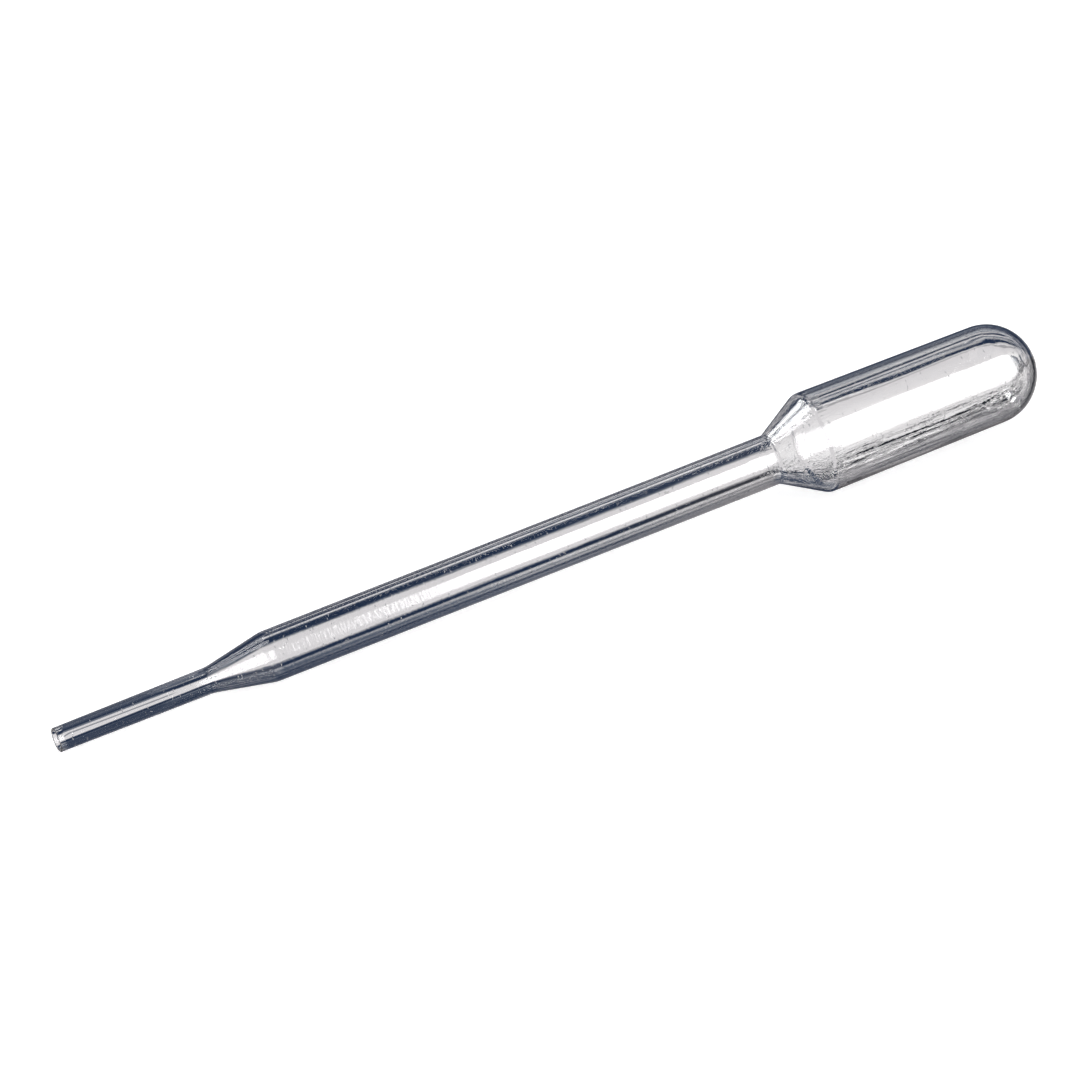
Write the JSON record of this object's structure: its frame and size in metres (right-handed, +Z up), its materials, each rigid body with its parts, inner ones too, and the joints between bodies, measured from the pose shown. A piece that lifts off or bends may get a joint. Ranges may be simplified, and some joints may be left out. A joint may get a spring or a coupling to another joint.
{
  "type": "dropper pipette",
  "caption": "One-piece clear plastic dropper pipette: open thin tip, taper, long straight stem and a domed squeeze bulb, lying on its side.",
  "frame": {"origin": "on the surface it lies on, under the middle of its length and width", "axes": "+X along the pipette from the tip's mouth to the bulb's dome, +Y across it, +Z up; the pipette's own axis lies in the XZ plane and climbs 2.53 degrees towards the bulb"},
  "size_m": [0.15, 0.0146, 0.0156],
  "materials": {
    "clear_plastic": "clear glossy low-density polyethylene"
  },
  "bodies": {
    "root": {"pipette": "clear_plastic"}
  },
  "joints": []
}
